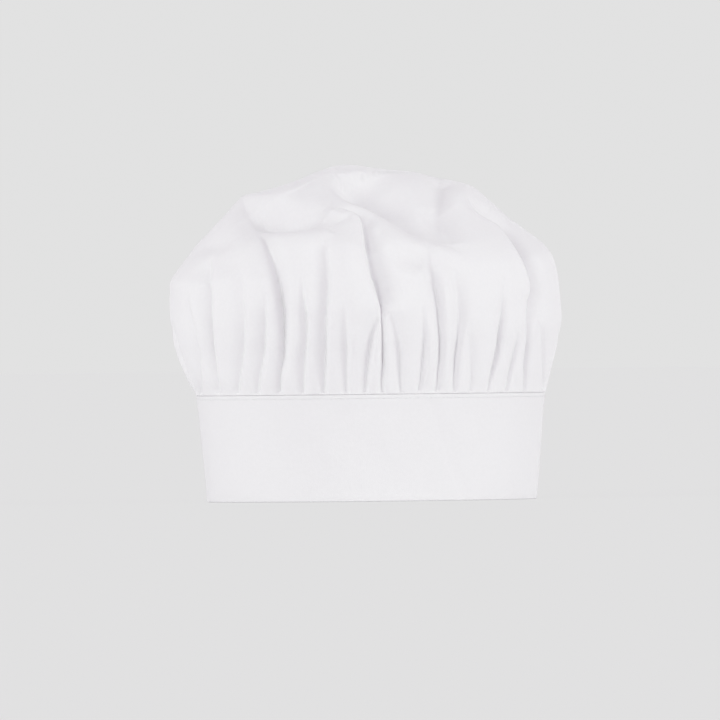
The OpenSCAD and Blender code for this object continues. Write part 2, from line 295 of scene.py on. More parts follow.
# The band's stiffener: a strip of white non-woven fabric, pressed on to the inside of the outer wall. It
# keeps the band upright, and stops short of the turned-in edge above it and of the strap's root.
STIFFENER, STIFFENER_AT, STIFFENER_COLUMNS = 0.5, 0.72, 240
STIFFENER_LOW, TUCK_ROOM, ROOT_ROOM = 2.4, 0.3, 11.0
INTERLINING_WHITE = (0.80, 0.81, 0.82)


def bar_section(half_thick, half_height, rows=9, bend=5):
    """Points round a flat bar with round edges, as offsets in depth and height."""
    straight = half_height - half_thick
    heights = np.linspace(1, -1, rows)
    lower = arc((0, -1), 1, 180, 360, bend)[1:-1]
    upper = arc((0, 1), 1, 0, 180, bend)[1:-1]
    depth = np.concatenate([-np.ones(rows), lower[:, 0], np.ones(rows), upper[:, 0]]) * half_thick
    flat = np.concatenate([heights, -np.ones(bend - 2), -heights, np.ones(bend - 2)]) * straight
    bent = np.concatenate([np.zeros(rows), lower[:, 1] + 1, np.zeros(rows), upper[:, 1] - 1]) * half_thick
    return np.stack([depth, flat + bent], axis=1)


def bar(turns, depth, height, section):
    """A bar of one section along the band: its points, faces and flat places."""
    places = band_at(turns[:, None], depth + section[:, 0], height + section[:, 1])
    around = len(section)
    last = (len(turns) - 1) * around
    faces = tube_faces(len(turns), around)
    faces += [tuple(range(around)), tuple(range(last, last + around))]
    run = (turns - turns[0]) / TURN_PER_MM
    return places.reshape(-1, 3), faces, flat_places(run[:, None], height + section[:, 1])


def felted(name, colour, fibre=1.6, relief=0.12):
    """Non-woven stiffener, or the fibrous face of a tape: short fibres that lie every way."""
    made, place, shader = finish_start(name, sheen=0.05)
    fibres = noise(place, fibre, 5.0, 0.65)
    clouds = noise(place, 0.15, 2.0)
    bump(place, fibres + clouds, relief, 0.6).into(shader, "Normal")
    tone(place, clouds, colour, 0.96, 1.03).into(shader, "Base Color")
    (fibres * 0.2 + 0.75).into(shader, "Roughness")
    return made


low, high = STIFFENER_LOW, BAND_HEIGHT - TURNED_IN - TUCK_ROOM
stiff_turns = np.linspace(UNDER_AT + 1, LAP_END - ROOT_ROOM * TURN_PER_MM, STIFFENER_COLUMNS)
stiff_section = bar_section(STIFFENER / 2, (high - low) / 2)
stiff_bar = bar(stiff_turns, STIFFENER_AT + STIFFENER / 2, (low + high) / 2, stiff_section)
interlining = piece("band_stiffener", *stiff_bar, felted("pressed_interlining", INTERLINING_WHITE))
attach(interlining, "hat")
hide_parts("band_interlining")

# The crown: one disc of the same twill, pleated round its edge into the band and left slack, so that it
# bulges over the band and falls into soft folds. Its outline and folds are the photograph's in front. The
# sides and the back, which it does not show, are made in the same way.
CROWN_CLOTH = 0.5
CROWN_DEPTH_IN_BAND = BAND_THICK / 2
SEAM_ALLOWANCE = 10.0
DISC_RADIUS = 240.0
CROWN_WHITE = (0.862, 0.85, 0.868)
CROWN_COLUMNS, SMALLEST_STEP = 800, 0.62
SEAM_TO_TOP = 232.0
ROW_STEPS, STEPS_WIDEN, FINE_ROWS = (0.7, 1.5), (8, 60), 2.5
SUNK_ROWS = (10.0, 8.0, 6.0, 4.0, 2.4, 1.1)
OUTLINE_POINTS, OUTLINE_EASE, SEAM_EASE, SEAM_RUN = 500, 5, 0.8, (2, 8)
LAP_EASE, LIFT_FALL = 6.5, (7, 3)
LAP_HEIGHT, LAP_HEIGHT_EASE, BAND_HOLD = 0.5, 4, 25
CURL_FROM, CURL_SHARE = 0.85, 0.25
seam_side = SEAM_WIDTH / 2 - CROWN_DEPTH_IN_BAND
seam_front = BAND_DEPTH / 2 - CROWN_DEPTH_IN_BAND
LEFT_OUTLINE = [
    (seam_side, 68.5), (112, 69), (112.9, 69.15), (113.4, 69.5), (113.9, 70.6), (114.9, 72.6),
    (117.3, 75.8), (120.5, 81), (124, 90), (128, 104), (130.5, 118), (131, 130), (130, 143), (124, 150.8),
    (120, 156.8), (113, 166.4), (103, 176.3), (96, 183.8), (90, 190.4), (86, 195.6), (81.6, 201),
    (70, 201.7), (60, 204.6), (50, 207.8), (40, 211.2), (30, 214.8), (23, 217.8), (18, 218.1),
]
RIGHT_OUTLINE = [
    (seam_side, 68.5), (112, 69), (112.9, 69.15), (113.3, 69.5), (113.6, 70.6), (114.1, 72.8), (115, 75.5),
    (116.3, 79), (118.6, 86), (120.5, 95), (122.2, 103), (125, 115), (125, 121), (123.7, 133), (122.3, 145),
    (121.4, 152), (118.2, 160), (113.6, 165.3), (105, 171.8), (95, 179.6), (90, 183.6), (80, 191.8),
    (70, 201.8), (66, 204.6), (60, 206.2), (50, 208.8), (40, 211), (30, 213), (20, 214), (10, 215.5),
    (0, 216.5), (-10, 217.5), (-18, 218.1),
]
FRONT_OUTLINE = [
    (seam_front, 68.5), (99, 69), (99.9, 69.15), (100.3, 69.5), (100.6, 70.6), (101.3, 72.8), (102.5, 76),
    (106, 86), (112.5, 104), (116.5, 126), (114, 146), (105, 164), (90, 180), (70, 194.5), (46, 206),
    (22, 214.4), (0, 218.1),
]


def along_line(line, places):
    """The line read off at places that are lengths along it."""
    along = lengths(line[:, :2])
    return np.stack([np.interp(places, along, line[:, k]) for k in range(line.shape[1])], axis=1)


def eased(line, ease):
    """Evenly spaced points, with corners eased over that many of them and the ends left in place."""
    reach = min(int(3 * ease), len(line) - 1)
    weight = np.exp(-0.5 * (np.arange(-reach, reach + 1) / ease) ** 2)
    weight /= weight.sum()
    run_in, run_out = 2 * line[0] - line[reach:0:-1], 2 * line[-1] - line[-2:-reach - 2:-1]
    line = np.concatenate([run_in, line, run_out])
    return np.stack([np.convolve(line[:, k], weight, "valid") for k in range(line.shape[1])], axis=1)


def outline(points):
    """An outline with its corners eased: shares of its length, and the [distance, height] there."""
    line = np.array(points, float)
    places = np.linspace(0, lengths(line)[-1], OUTLINE_POINTS)
    line = along_line(line, places)
    by_the_seam = (1 - ramp(places, *SEAM_RUN))[:, None]
    line = eased(line, SEAM_EASE) * by_the_seam + eased(line, OUTLINE_EASE) * (1 - by_the_seam)
    along = lengths(line)
    return along / along[-1], line


left_line, right_line, front_line = (outline(o) for o in (LEFT_OUTLINE, RIGHT_OUTLINE, FRONT_OUTLINE))


def read_outline(share, line):
    return [np.interp(share, line[0], line[1][:, k]) for k in (0, 1)]


def over_lap(turn):
    """How far out the crown's edge stands: with the band's step, and eased across the lap."""
    across = ramp(turn, LAP_AT - LAP_EASE, 2 * LAP_EASE)
    at_lap = np.abs(turn - LAP_AT) < LAP_EASE
    on_band = np.where(turn < LAP_AT, turn + 360, turn)
    return np.where(at_lap, LAP_STEP * (1 - across), lap_offset(on_band))


def lap_lift(turn):
    """1 at the lap, where the crown's edge stays above the band, and 0 where it goes down into it."""
    return 1 - ramp(np.abs(turn - LAP_AT), *LIFT_FALL)


def crown_form(share, sunk, turn):
    """The crown without folds: a share of the way from seam to top, or sunk in the band, at an angle."""
    a = np.radians(turn)
    left_x, left_z = read_outline(share, left_line)
    right_x, right_z = read_outline(share, right_line)
    front_y, front_z = read_outline(share, front_line)
    side_z = np.where(np.cos(a) > 0, right_z, left_z)
    z = side_z * np.cos(a) ** 2 + front_z * np.sin(a) ** 2
    lift = lap_lift(turn)
    hold = 1 - ramp(z, BAND_HEIGHT, BAND_HOLD)
    out = hold * (over_lap(turn) + band_wave(turn % 360, z))
    curl = ramp(lift, CURL_FROM, 1 - CURL_FROM) * sunk * CURL_SHARE
    z = z + LAP_HEIGHT * lift * (1 - ramp(z, BAND_HEIGHT, LAP_HEIGHT_EASE)) - sunk * (1 - lift)
    taper = (HEM_WIDTH - SEAM_WIDTH) / 2 / BAND_HEIGHT * sunk * (1 - lift)
    x = (right_x - left_x) / 2 + ((right_x + left_x) / 2 + out - curl + taper) * np.cos(a)
    y = (front_y + out - curl) * np.sin(a)
    return np.stack([x, y, z], axis=-1)


def row_places(first, last, length):
    """Shares of a length at which rows of points lie, closest together at its start."""
    places = [0.0]
    while places[-1] < length:
        step = first + (last - first) * float(ramp(places[-1], *STEPS_WIDEN))
        places.append(places[-1] + step * (0.5 if places[-1] < FINE_ROWS else 1))
    return np.array(places) / places[-1]


rings = [(0.0, sunk, CROWN_COLUMNS) for sunk in SUNK_ROWS]
for share in row_places(*ROW_STEPS, SEAM_TO_TOP):
    across, count = read_outline(share, front_line)[0], rings[-1][2]
    if count % 2 == 0 and math.tau * across / count < SMALLEST_STEP:
        count //= 2
    rings.append((share, 0.0, 1 if share == 1.0 else count))
ring_share, ring_sunk, ring_count = zip(*rings)
ring_first = np.concatenate([[0], np.cumsum(ring_count)])
share = np.repeat(ring_share, ring_count)
sunk = np.repeat(ring_sunk, ring_count)
turn = np.concatenate([np.arange(n) * 360.0 / n for n in ring_count])
crown_faces = []
for i in range(len(ring_count) - 1):
    a, b, n, m = ring_first[i], ring_first[i + 1], ring_count[i], ring_count[i + 1]
    for k in range(n if m != n // 2 else m):
        if m == n:
            crown_faces.append((a + k, a + (k + 1) % n, b + (k + 1) % n, b + k))
        elif m == 1:
            crown_faces.append((a + k, a + (k + 1) % n, b))
        else:
            left, middle, right = a + 2 * k, a + 2 * k + 1, a + (2 * k + 2) % n
            crown_faces += [(left, middle, b + k), (middle, b + (k + 1) % m, b + k)]
            crown_faces.append((middle, right, b + (k + 1) % m))

form = crown_form(share, sunk, turn)
share_step, turn_step, flat_top = 1e-3, 0.2, 0.985
higher, lower = np.minimum(share + share_step, 1), np.maximum(share - share_step, 0)
up_slope = crown_form(higher, sunk, turn) - crown_form(lower, sunk, turn)
round_slope = crown_form(share, sunk, turn + turn_step) - crown_form(share, sunk, turn - turn_step)
normal = np.cross(round_slope, up_slope)
normal /= np.maximum(np.linalg.norm(normal, axis=1, keepdims=True), 1e-9)
normal[share > flat_top] = (0, 0, 1)

# The crown's front, down each crease: [across, height, depth, how far the cloth takes to rise on its left or
# lower side, and on the other]. A depth below 0 is a swell. First the pleats from left to right, then the
# long left fold, the flame-shaped one and the right one, which lap over their crease, then all others.
PLEATS = [
    [(-118.5, 134, 0.4, 5, 2), (-114.5, 118.6, 3.5, 5, 1.6), (-110.6, 108, 4.5, 4.6, 1.4),
     (-108.7, 99, 5, 4, 1.2), (-107.9, 84, 4.5, 2.6, 1.1), (-108, 69, 3, 1.2, 1)],
    [(-104, 160, 0.4, 4, 3), (-102, 146, 6, 5, 2), (-99.5, 135, 9, 5, 1.6), (-97, 121.8, 10.5, 5, 1.3),
     (-96, 108, 11, 4.6, 1.2), (-95.8, 90, 9.5, 3.4, 1.1), (-96, 78, 5, 2, 1.1), (-96.2, 69, 3.5, 1.2, 1)],
    [(-83.5, 153, 0.4, 4, 3), (-81.4, 136, 2.5, 4, 2), (-81, 122, 4, 4, 1.6), (-80.6, 108, 5, 3.8, 1.4),
     (-81.4, 97, 5.5, 3.2, 1.2), (-83.2, 83, 4.5, 2.3, 1.1), (-84.6, 69, 3.5, 1.1, 1)],
    [(-66.8, 138, 0.4, 3.5, 2), (-67, 122, 3.5, 3.2, 1.5), (-67, 109, 5, 3.2, 1.2),
     (-67.8, 99, 5.5, 3, 1.1), (-69.4, 88, 5, 2.4, 1.1), (-71, 79, 4.5, 1.9, 1.1),
     (-71.8, 69, 3.5, 1.1, 1)],
    [(-45, 148, 0.4, 3, 2.4), (-43.4, 136, 2.6, 2.8, 1.6), (-42, 127, 4.2, 2.8, 1.3),
     (-40.6, 116, 5, 2.8, 1.2), (-40.9, 106, 5, 2.8, 1.1), (-42, 95, 5, 2.7, 1.1),
     (-42.8, 84, 4.8, 2.2, 1.1), (-43.2, 69, 3.5, 1, 1)],
    [(-28, 168, 1.5, 5, 3.5), (-26.4, 150, 5, 4.6, 2.4), (-26, 140.7, 6, 4.4, 1.8), (-27, 132, 6, 4, 1.4),
     (-28, 120, 5.5, 3.8, 1.2), (-28.6, 100, 6, 3.4, 1.1), (-29, 86, 5.5, 2.6, 1.1),
     (-29.9, 69, 3.5, 1.1, 1)],
    [(-16.8, 135, 0.4, 3.5, 2.4), (-15.8, 120, 2.2, 3.5, 1.8), (-15.4, 108, 3.4, 3.4, 1.4),
     (-15.4, 94, 4, 3, 1.2), (-15.6, 82, 4, 2.2, 1.1), (-15.8, 69, 3.3, 1.1, 1)],
    [(5.2, 121, 2, 2, 1.4), (2.2, 112, 3.8, 2.4, 1.3), (0, 102, 5.2, 2.6, 1.2), (-1.2, 92, 5, 2.4, 1.1),
     (-3, 80, 4.5, 1.7, 1.1), (-4, 69, 3.5, 1, 1)],
    [(9, 136, 0.4, 4.5, 3), (13.4, 120, 2.4, 4.5, 2.5), (16.2, 110, 3.4, 4.4, 2), (18.2, 100, 4.2, 4, 1.5),
     (19, 90, 4.6, 3.4, 1.2), (19, 80, 4.4, 2.4, 1.1), (18.6, 69, 3.5, 1.1, 1)],
    [(34, 133, 0.4, 3.5, 2.4), (34.8, 112, 2.8, 3, 1.6), (34.8, 101, 4.4, 2.8, 1.3),
     (33.6, 90, 4.5, 2.3, 1.1), (31.6, 79, 4, 1.6, 1.1), (30.2, 69, 3.3, 1, 1)],
    [(34.5, 169, 3.5, 8, 4), (37.5, 160, 6.5, 8, 3), (40.4, 149, 8, 7, 2.4), (42.4, 138, 8.5, 6, 1.9),
     (43.8, 126, 8, 4.6, 1.6), (44.4, 116, 6.6, 3.2, 1.4), (44.8, 108, 5.6, 2.4, 1.3),
     (45, 99, 5, 1.8, 1.2), (43.8, 89, 4.8, 1.9, 1.1), (42.2, 79, 5, 1.7, 1.1), (41.6, 69, 3.5, 1, 1)],
    [(53.5, 152, 1.6, 5, 4), (56.4, 135, 5.6, 5, 3.4), (57.6, 123, 7, 5, 2.6), (57.6, 113, 6.4, 4.4, 1.8),
     (56.2, 105, 4.8, 3, 1.2), (55, 97, 5, 2.4, 1.1), (53.9, 88, 5, 2, 1.1), (53, 79, 4.5, 1.6, 1.1),
     (52.2, 69, 3.5, 1, 1)],
    [(64, 117, 0.4, 4, 3), (64.4, 100, 2.6, 3.8, 2.2), (64.5, 90, 3.3, 3.2, 1.7), (64, 80, 3.4, 2.2, 1.3),
     (63.3, 69, 3, 1, 1)],
    [(88, 146, 0.4, 3, 2.4), (85.8, 130, 3, 2.8, 1.9), (84.8, 121, 4.4, 2.8, 1.5),
     (83.4, 111, 5.2, 2.5, 1.3), (81.4, 100, 5.2, 1.9, 1.2), (78.8, 89.5, 5, 1.6, 1.1),
     (75.6, 80, 4.8, 1.7, 1.1), (74.2, 69, 3.5, 1, 1)],
    [(96, 110, 0.4, 2.6, 2), (93, 96, 3.4, 2.4, 1.4), (90, 88, 4.4, 2.2, 1.1), (87.1, 80, 4.4, 1.8, 1.1),
     (85.8, 69, 3.4, 1, 1)],
    [(108, 124, 0.4, 3, 3), (110, 108, 2.4, 2.8, 2.2), (110.8, 97, 3, 2.4, 1.8), (110.6, 86, 3.3, 2, 1.4),
     (109.6, 77, 3.3, 1.3, 1.2), (108.8, 69, 3, 1, 1)],
]
LAPPED_FOLDS = [
    [(-82, 198, 1.6, 2.4, 6), (-80, 187, 3, 2.6, 8), (-73.4, 177, 3.4, 2.6, 9), (-65, 165, 5.4, 2.4, 9),
     (-61.4, 154, 7, 2, 8), (-59.2, 143, 8.5, 1.6, 6.6), (-57.2, 134, 9.5, 1.5, 5.4),
     (-56, 124, 9, 1.4, 4.4), (-55.6, 110, 7.5, 1.4, 3.6), (-55.8, 95, 6, 1.4, 2.8),
     (-58, 84, 4.5, 1.5, 2), (-57.8, 76, 4.5, 1.3, 1.2), (-57.8, 69, 3.5, 1, 1)],
    [(-17, 188.5, 2, 1.4, 5), (-8.5, 185.6, 4.5, 1.4, 7), (-4.6, 181, 6.4, 1.4, 7),
     (-3.4, 173, 7.6, 1.4, 7), (-2.8, 162, 9, 1.4, 7), (-1, 151, 11, 1.4, 7.5), (1.8, 141, 12.5, 1.4, 8),
     (4.4, 134, 11.5, 1.4, 7.5), (6.4, 127, 8.5, 1.3, 4.5), (7.3, 120, 4.5, 1.1, 1.5),
     (7.4, 110, 4, 1.1, 1.1), (7.8, 98, 4.8, 1.1, 1.1), (7.7, 89, 4.8, 1.1, 1.1), (6.6, 80, 4.5, 1.4, 1.1),
     (6.6, 69, 3.5, 1, 1)],
    [(66.5, 198, 0.6, 4, 6), (68.5, 190, 2.4, 4, 8), (71.5, 185, 4, 3.4, 9), (77.5, 179, 6, 2.4, 10),
     (84, 168, 10.5, 1.6, 8), (90.2, 155, 12.5, 1.3, 8), (95.2, 144.5, 12.5, 1.3, 7),
     (98, 134, 11, 1.3, 6), (97.8, 123, 7, 1.2, 4.8), (99.4, 113, 4, 1.2, 2.6), (100, 104, 4, 1.2, 1.6),
     (98.6, 95, 4.4, 1.4, 1.3), (97.2, 86, 5, 1.7, 1.2), (96.6, 78, 4.6, 1.7, 1.1), (97, 69, 3.5, 1, 1)],
]
SOFT_FOLDS = [
    [(-77, 187, 2.5, 3.5, 7), (-70, 180, 7, 4.4, 11), (-56, 177.8, 10, 5, 13), (-43, 177.8, 9, 5, 13),
     (-35, 178.6, 3, 5, 10)],
    [(-13, 178, -1.5, 6, 6), (-11, 160, -2.5, 7, 7), (-8, 142, -2.5, 7, 6), (-4, 124, -1, 5, 5)],
    [(-72, 196, -0.6, 6, 8), (-55, 193, -1, 6, 8), (-38, 194, -0.6, 6, 8)],
    [(-28, 195, 2.5, 2, 2), (-29.2, 188, 2.5, 1.5, 2), (-28.5, 182, 2, 1.5, 2)],
    [(-25, 179.6, 1.5, 2.2, 2.4), (-17.5, 179.8, 2.6, 2.2, 2.4), (-12, 183.4, 2, 2, 2.2)],
    [(-27, 191, -2, 3, 3), (-20, 189, -2.5, 3, 3), (-12, 187.5, -2.5, 3, 3), (-7, 185, -2, 3, 3)],
    [(-20, 213, 1.6, 3.2, 6), (-19, 207, 5.5, 3.4, 9), (-17, 202.5, 9, 4, 11), (-13, 199, 11.5, 7, 12),
     (-3, 194, 11, 8, 12), (9, 190, 10.5, 8, 12), (20, 184, 9.4, 7, 12), (30, 176.5, 7, 5.5, 11),
     (40, 170.5, 5, 4.4, 9), (48, 167, 2.5, 4, 7)],
    [(10, 178, -1, 7, 5), (22, 173, -3, 7, 5), (33, 167, -3, 6, 5), (42, 162, -1.5, 5, 4)],
    [(47, 203, 5, 6, 4), (45.2, 192, 10, 7, 5), (45, 180, 9, 7, 6), (47.4, 171, 5, 7, 6),
     (50, 167, 2, 4, 5)],
    [(43, 165.5, 2, 1.4, 4), (52, 165.4, 2.6, 1.4, 4), (58, 164.4, 1, 1.4, 3)],
    [(14, 160, 2.4, 7, 5), (25, 160, 5, 7, 5), (33, 158, 6, 7, 5), (38, 155, 4, 6, 4)],
    [(6, 182, 1.5, 9, 9), (15, 177, 3.5, 10, 10), (24, 171, 3.5, 9, 9), (32, 166, 2, 8, 8)],
    [(-70, 172, -1.6, 7, 5), (-55, 170.5, -2.8, 8, 5), (-40, 170.5, -2.8, 8, 5), (-31, 173, -1.2, 6, 5)],
    [(98, 130, 1.6, 3, 4), (104, 128, 2.2, 3, 4), (108, 125, 2, 3, 4), (111, 120, 1, 3, 4)],
    [(-108, 165.5, 1.4, 4, 4), (-101, 166.2, 2, 4, 4), (-94, 166, 1.4, 4, 4)],
]
FOLD_LAP = 0.8
# Round the sides and the back the pleats are evenly spread, up to the lap and on from it. Their tops, bends,
# depths and the widths of their soft and crisp sides vary. Five long folds run up from them: turn at the
# belly, turn at the top, depth, and share of the rise at which each runs out.
PLEATS_TO_LAP, PLEATS_FROM_LAP = 341.8 + 10.28 * np.arange(1, 10), 84.6 + 10.33 * np.arange(11)
PLEAT_RANGES = ((112, 152), (-2.5, 2.5), (3.8, 5.4), (2.6, 4), (1.1, 1.6))
BACK_FOLDS = [
    (28, 18, 5.5, 1.0), (62, 78, 8, 1.1), (98, 92, 6.5, 1.1), (127, 140, 7, 0.8), (158, 172, 5.5, 1.0),
]
BACK_HEIGHTS, CRISP = (200, 190, 178, 165, 150, 138, 126), 1.4
BELLY, TOP = 126.0, 217.0
SEAM_PRESS, SOFT_FIRST, BACK_LAP = 3.4, 0.6, 0.6
FOLD_STEP, FOLD_EASE, BACK_STRETCH = 1.2, 3, 1.5
FRONT_FACING, FRONT_DEPTH, BACK_SHARE = 0.15, 25, 0.95


def lay_fold(points, in_front):
    """A crease laid on the crown's form: its points, the way out there, and its depth and widths."""
    line = np.array(points, float)
    run = lengths(line[:, :2])[-1]
    count = int(run * (1 if in_front else BACK_STRETCH) / FOLD_STEP)
    line = eased(along_line(line, np.linspace(0, run, max(count, 8))), FOLD_EASE)
    if in_front:
        near = np.flatnonzero((normal[:, 1] < FRONT_FACING) & (form[:, 1] < FRONT_DEPTH) & (sunk == 0))
        seen, out_seen = form[near][:, [0, 2]], normal[near][:, [0, 2]]
        nearest = [near[np.argmin(((seen - out_seen * p[2] - p[:2]) ** 2).sum(axis=1))] for p in line]
    else:
        near = np.flatnonzero((sunk == 0) & (share < BACK_SHARE))
        nearest = []
        for p in line:
            round_off = ((turn[near] - p[0] + 180) % 360 - 180) / TURN_PER_MM
            nearest.append(near[np.argmin(round_off ** 2 + (form[near, 2] - p[1]) ** 2)])
    return eased(form[nearest], FOLD_EASE), eased(normal[nearest], FOLD_EASE), *line[:, 2:].T


folds = []
for group, lap in ((PLEATS, 0), (LAPPED_FOLDS, FOLD_LAP), (SOFT_FOLDS, 0)):
    folds += [(*lay_fold(points, True), lap) for points in group]
chance = np.random.default_rng(7)
for place in np.concatenate([PLEATS_TO_LAP, PLEATS_FROM_LAP]) % 360:
    top, bend, deep, wide, crisp = (chance.uniform(*span) for span in PLEAT_RANGES)
    first, second = (wide, crisp) if chance.random() < SOFT_FIRST else (crisp, wide)
    points = [
        (place + bend, top, 1.2, first, second), (place + bend * 0.6, top - 14, deep - 1, first, second),
        (place, 95, deep, first, second), (place, 82, deep, first * 0.7 + 0.3, second * 0.7 + 0.3),
        (place, BAND_HEIGHT, SEAM_PRESS, 1, 1),
    ]
    folds.append((*lay_fold(points, False), 0))
for start, end, deep, reach in BACK_FOLDS:
    crisp_left = chance.random() < 0.5
    points = []
    for height in BACK_HEIGHTS:
        climb = (height - BELLY) / (TOP - BELLY)
        soft = 3.5 + 6 * climb
        sides = (CRISP, soft) if crisp_left else (soft, CRISP)
        left_over = max(1 - climb / reach, 0.05)
        points.append((start + (end - start) * climb ** 2, height, deep * left_over, *sides))
    points += [(start, 110, deep * 0.9, 2.4, 2.4), (start, 96, deep * 0.75, 2, 2)]
    points += [(start, 82, 4.5, CRISP, CRISP), (start, BAND_HEIGHT, SEAM_PRESS, 1, 1)]
    folds.append((*lay_fold(points, False), BACK_LAP if crisp_left else 0))

# Cloth is pressed in most at a crease and less beside it. LOOSE, WIDE and OPEN are the widths from which a
# fold is softer, and over how much more of width it gets so.
FOLD_BLEND, FOLD_REACH, FULL_GIVE = 2.5, 2.2, 3
CREASE_ROUND, SOFT_ROUND = 0.6, 3.0
CREASE_CURVE, CREASE_OPEN = 1.08, 0.6
FOLD_GAIN, SOFT_GAIN, LOOSE_GAIN = 1.1, 1.3, 0.65
SOFT_SHARE, SOFT_WIDTH = 0.15, 2.8
LOOSE, WIDE, OPEN = (2.4, 3), (1.2, 1.5), (3, 6)
LAP_OFF, LAP_SPREAD, FULL_LAP = 2, 2.5, 5
SEAM_START, SEAM_OPEN, PLEATS_OPEN = 0.2, 0.6, 28
pressed, raised, give, firm = np.zeros((4, len(form)))
lapped = np.zeros_like(form)
above = np.where(sunk > 0, 0, form[:, 2] - BAND_HEIGHT)
open_up = SEAM_OPEN * ramp(above, SEAM_START, 1) + (1 - SEAM_OPEN) * ramp(above, 0, PLEATS_OPEN)
for line, out, depth, left, right, lap in folds:
    reach = FOLD_REACH * SOFT_WIDTH * max(left.max(), right.max())
    within = (form > line.min(axis=0) - reach) & (form < line.max(axis=0) + reach)
    near = np.flatnonzero(within.all(axis=1))
    gap = form[near][:, None] - line[None]
    nearest = np.argmin((gap * gap).sum(axis=2), axis=1)
    gap = gap[np.arange(len(near)), nearest]
    along = unit(np.gradient(line, axis=0))
    sideways = unit(np.cross(along, out))
    off = (gap * sideways[nearest]).sum(axis=1)
    past = (gap * along[nearest]).sum(axis=1)
    at_end = (nearest == 0) & (past < 0) | (nearest == len(line) - 1) & (past > 0)
    deep = (gap * normal[near]).sum(axis=1)
    far = np.sqrt(off ** 2 + deep ** 2 + np.where(at_end, past, 0) ** 2)
    loose = ramp(np.minimum(left, right)[nearest], *LOOSE)
    rounding = CREASE_ROUND + SOFT_ROUND * loose
    away = np.sqrt(far ** 2 + rounding ** 2) - rounding
    width = np.where(off > 0, left[nearest], right[nearest])
    width = width * (1 + (SOFT_GAIN - 1) * ramp(width, *WIDE))
    curve = CREASE_CURVE + CREASE_OPEN * ramp(width, *OPEN)
    sharp = np.exp(-(away / width) ** curve)
    soft = np.exp(-(away / (SOFT_WIDTH * width)) ** 2)
    amount = FOLD_GAIN * (1 + LOOSE_GAIN * loose) * depth[nearest] * (sharp + (soft - sharp) * SOFT_SHARE)
    strong = np.clip(np.abs(amount) / FULL_GIVE, 0, 1)
    give[near] = np.maximum(give[near], loose * strong)
    firm[near] = np.maximum(firm[near], (1 - loose) * strong)
    if depth.mean() > 0:
        pressed[near] += np.maximum(amount, 0) ** FOLD_BLEND
    else:
        raised[near] = np.maximum(raised[near], -amount)
    if lap:
        over = lap * np.where((off > 0) & ~at_end, np.exp(-((off - LAP_OFF) / LAP_SPREAD) ** 2), 0)
        lapped[near] -= sideways[nearest] * (over * np.clip(depth[nearest] / FULL_LAP, 0, 1))[:, None]
relief = raised - pressed ** (1 / FOLD_BLEND)

# Loose folds are evened out between neighbouring points, so that they stay round where two of them meet.
EVEN_ROUNDS = 24
sides = np.array([(f[k - 1], f[k]) for f in crown_faces for k in range(len(f))])
neighbours = np.bincount(sides.ravel(), minlength=len(form))
evened = relief.copy()
for k in range(EVEN_ROUNDS):
    total = np.bincount(sides[:, 0], evened[sides[:, 1]], len(form))
    total += np.bincount(sides[:, 1], evened[sides[:, 0]], len(form))
    evened = total / neighbours
relief += (evened - relief) * give * (1 - firm)

CRUMPLES, SMALL_CRUMPLE, BIG_CRUMPLE, CRUMPLE_HEIGHT, CRUMPLE_LEAN = 26, 13, 42, 0.12, 0.1
flat_radius = (DISC_RADIUS - SEAM_ALLOWANCE) * (1 - share) + sunk
flat = flat_radius[:, None] * np.stack([np.cos(np.radians(turn)), np.sin(np.radians(turn))], axis=1)
crumples = np.zeros(len(form))
for k in range(CRUMPLES):
    size = chance.uniform(SMALL_CRUMPLE, BIG_CRUMPLE)
    heading, phase = chance.uniform(0, math.tau), chance.uniform(0, math.tau)
    wave = math.tau / size * (form[:, 0] * math.cos(heading) + form[:, 2] * math.sin(heading))
    lean = form[:, 1] * chance.uniform(-CRUMPLE_LEAN, CRUMPLE_LEAN)
    crumples += CRUMPLE_HEIGHT * size / BIG_CRUMPLE * np.sin(wave + phase + lean)
skin = form + normal * ((relief + crumples) * open_up)[:, None] + lapped * open_up[:, None]
skin[-1] = skin[ring_first[-3]:ring_first[-2]].mean(axis=0)

crown_twill = twill("crown_twill", CROWN_WHITE, crumple=0.35)
half = piece("crown_cloth", skin, crown_faces, flat, crown_twill)
skin_normal = np.empty(len(skin) * 3, np.float32)
half.data.vertices.foreach_get("normal", skin_normal)
skin_normal = skin_normal.reshape(-1, 3)
if skin_normal[-1, 2] < 0:
    skin_normal = -skin_normal
bpy.data.objects.remove(half)
lining = skin - skin_normal * CROWN_CLOTH
under = len(skin)
edge = ring_count[0]
crown_faces += [tuple(under + v for v in reversed(f)) for f in crown_faces]
crown_faces += [(k, under + k, under + (k + 1) % edge, (k + 1) % edge) for k in range(edge)]
both_faces = np.concatenate([skin, lining])
crown = piece("crown_cloth", both_faces, crown_faces, np.concatenate([flat, flat]), crown_twill)
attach(crown, "hat")
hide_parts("crown")

# Stitching: white spun thread, each stitch rising from one hole in the cloth and sinking into the next. One
# row runs round the top of the band and holds the crown, on its face and on its lining; one upright row sews
# the strap's root into the end of the band; and an overlock binds the crown's edge inside the band.
THREAD_RADIUS, STITCH, STITCH_PITCH = 0.2, 2.45, 2.8
STITCH_RISE, STITCH_SINK, STITCH_END, STITCH_RINGS = 2.1, 1.1, 0.6, 7
THREAD_WHITE = (0.88, 0.87, 0.89)
TOP_STITCH_DROP, ROW_END_TURN = 2.5, 0.8
STRAP_MIDDLE = BAND_HEIGHT / 2
STRAP_HALF_HEIGHT = 23.0
ROOT_SEAM_INSET = 5.0
OVERLOCK_AT, OVERLOCK_RADIUS, OVERLOCK_PITCH = (1.94, BAND_HEIGHT - SEAM_ALLOWANCE - 0.72), 0.44, 1.5
OVERLOCK_THREAD, OVERLOCK_END = 0.1, 8


